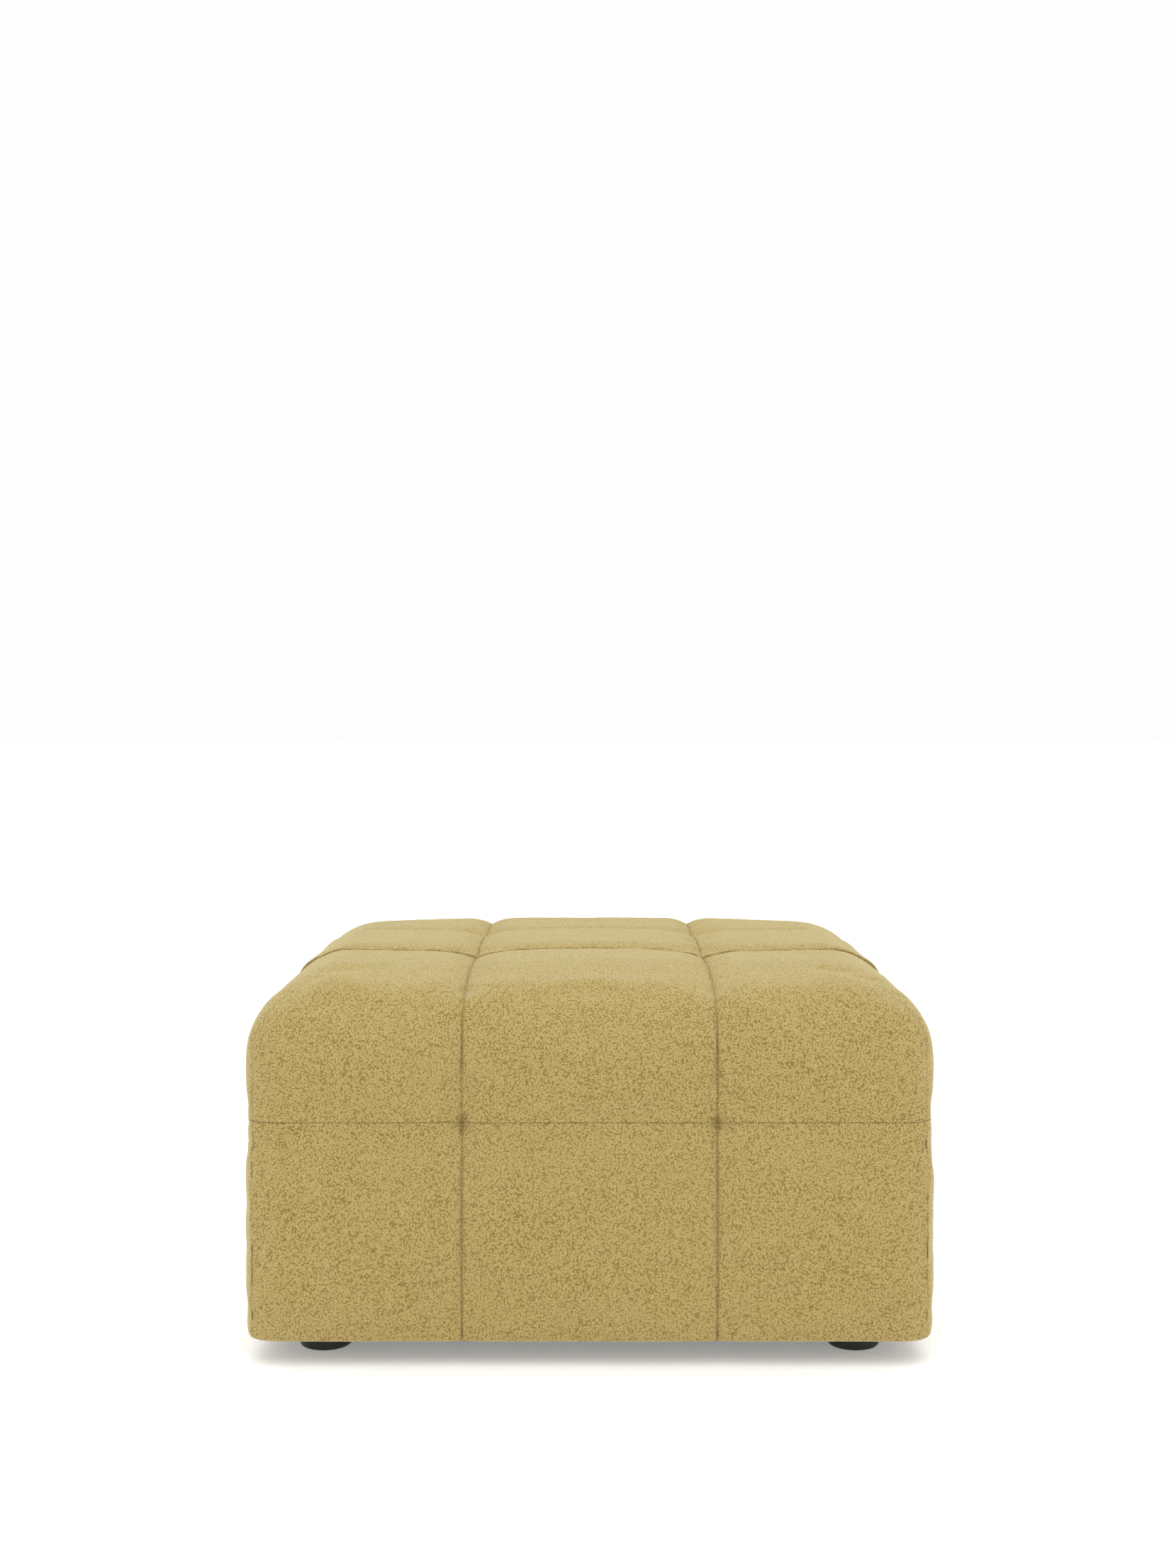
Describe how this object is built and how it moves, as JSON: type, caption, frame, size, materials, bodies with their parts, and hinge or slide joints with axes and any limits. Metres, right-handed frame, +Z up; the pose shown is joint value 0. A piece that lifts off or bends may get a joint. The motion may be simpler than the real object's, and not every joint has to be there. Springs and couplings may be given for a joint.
{
  "type": "ottoman with storage",
  "caption": "Low square upholstered ottoman with a seamed padded lid on hinges and gas struts over a lined storage box on short round feet.",
  "frame": {"origin": "on the floor under the middle of the ottoman", "axes": "+Z up, -Y is the front where the lid opens, +Y is the hinge side, +X is the right seen from the front"},
  "size_m": [0.8, 0.8, 0.452],
  "materials": {
    "boucle": "mustard boucle upholstery with a fine curled pile",
    "foam": "pale cut polyurethane foam",
    "plywood": "sanded birch plywood",
    "pine": "planed pine",
    "dust_cloth": "black non-woven dust cloth",
    "lining_cloth": "black woven lining",
    "black_plastic": "matte black moulded plastic",
    "bumper_rubber": "black rubber",
    "zinc_steel": "zinc-plated pressed steel",
    "strut_black": "black enamelled steel tube",
    "strut_chrome": "polished chromed rod"
  },
  "bodies": {
    "box": {"base_cover": "boucle", "base_front_pad": "foam", "base_right_pad": "foam", "base_back_pad": "foam", "base_left_pad": "foam", "base_front_panel": "plywood", "base_right_panel": "plywood", "base_back_panel": "plywood", "base_left_panel": "plywood", "base_floor_panel": "plywood", "floor_centre_rail": "pine", "hinge_batten": "pine", "foot_block_front_left": "pine", "foot_block_front_right": "pine", "foot_block_back_left": "pine", "foot_block_back_right": "pine", "bottom_cloth": "dust_cloth", "bin_lining": "lining_cloth", "foot_front_left": "black_plastic", "foot_front_right": "black_plastic", "foot_back_left": "black_plastic", "foot_back_right": "black_plastic", "rim_bumper_left": "bumper_rubber", "rim_bumper_right": "bumper_rubber", "foot_screw_front_left": "zinc_steel", "foot_screw_front_right": "zinc_steel", "foot_screw_back_left": "zinc_steel", "foot_screw_back_right": "zinc_steel", "hinge_left_box_leaf": "zinc_steel", "hinge_left_pin": "zinc_steel", "hinge_right_box_leaf": "zinc_steel", "hinge_right_pin": "zinc_steel", "strut_left_box_bracket": "zinc_steel", "strut_right_box_bracket": "zinc_steel"},
    "lid": {"lid_cover": "boucle", "lid_front_pad": "foam", "lid_right_pad": "foam", "lid_back_pad": "foam", "lid_left_pad": "foam", "lid_foam_core": "foam", "lid_top_pad": "foam", "lid_deck": "plywood", "lid_front_rail": "pine", "lid_right_rail": "pine", "lid_back_rail": "pine", "lid_left_rail": "pine", "lid_cross_rail": "pine", "lid_underside_cloth": "dust_cloth", "hinge_left_lid_leaf": "zinc_steel", "hinge_right_lid_leaf": "zinc_steel", "strut_left_lid_bracket": "zinc_steel", "strut_right_lid_bracket": "zinc_steel"},
    "strut_left_tube": {"strut_left_tube": "strut_black"},
    "strut_left_rod": {"strut_left_rod": "strut_chrome"},
    "strut_right_tube": {"strut_right_tube": "strut_black"},
    "strut_right_rod": {"strut_right_rod": "strut_chrome"}
  },
  "joints": [
    {"name": "lid_hinge", "type": "hinge", "parent": "box", "child": "lid", "pos_m": [0, 0.396, 0.285], "axis": [-1, 0, 0], "range_deg": [0, 80]},
    {"name": "strut_left_tube_pivot", "type": "hinge", "parent": "box", "child": "strut_left_tube", "pos_m": [-0.346, 0.34073, 0.09228], "axis": [-1, 0, 0], "range_deg": [0, 40]},
    {"name": "strut_left_rod_pivot", "type": "hinge", "parent": "lid", "child": "strut_left_rod", "pos_m": [-0.346, 0.196, 0.271], "axis": [-1, 0, 0], "range_deg": [-40, 0]},
    {"name": "strut_right_tube_pivot", "type": "hinge", "parent": "box", "child": "strut_right_tube", "pos_m": [0.346, 0.34073, 0.09228], "axis": [-1, 0, 0], "range_deg": [0, 40]},
    {"name": "strut_right_rod_pivot", "type": "hinge", "parent": "lid", "child": "strut_right_rod", "pos_m": [0.346, 0.196, 0.271], "axis": [-1, 0, 0], "range_deg": [-40, 0]}
  ],
  "couplings": [
    {"joint": "strut_left_tube_pivot", "follows": "lid_hinge", "ratio": 0.5},
    {"joint": "strut_left_rod_pivot", "follows": "lid_hinge", "ratio": -0.5},
    {"joint": "strut_right_tube_pivot", "follows": "lid_hinge", "ratio": 0.5},
    {"joint": "strut_right_rod_pivot", "follows": "lid_hinge", "ratio": -0.5}
  ]
}
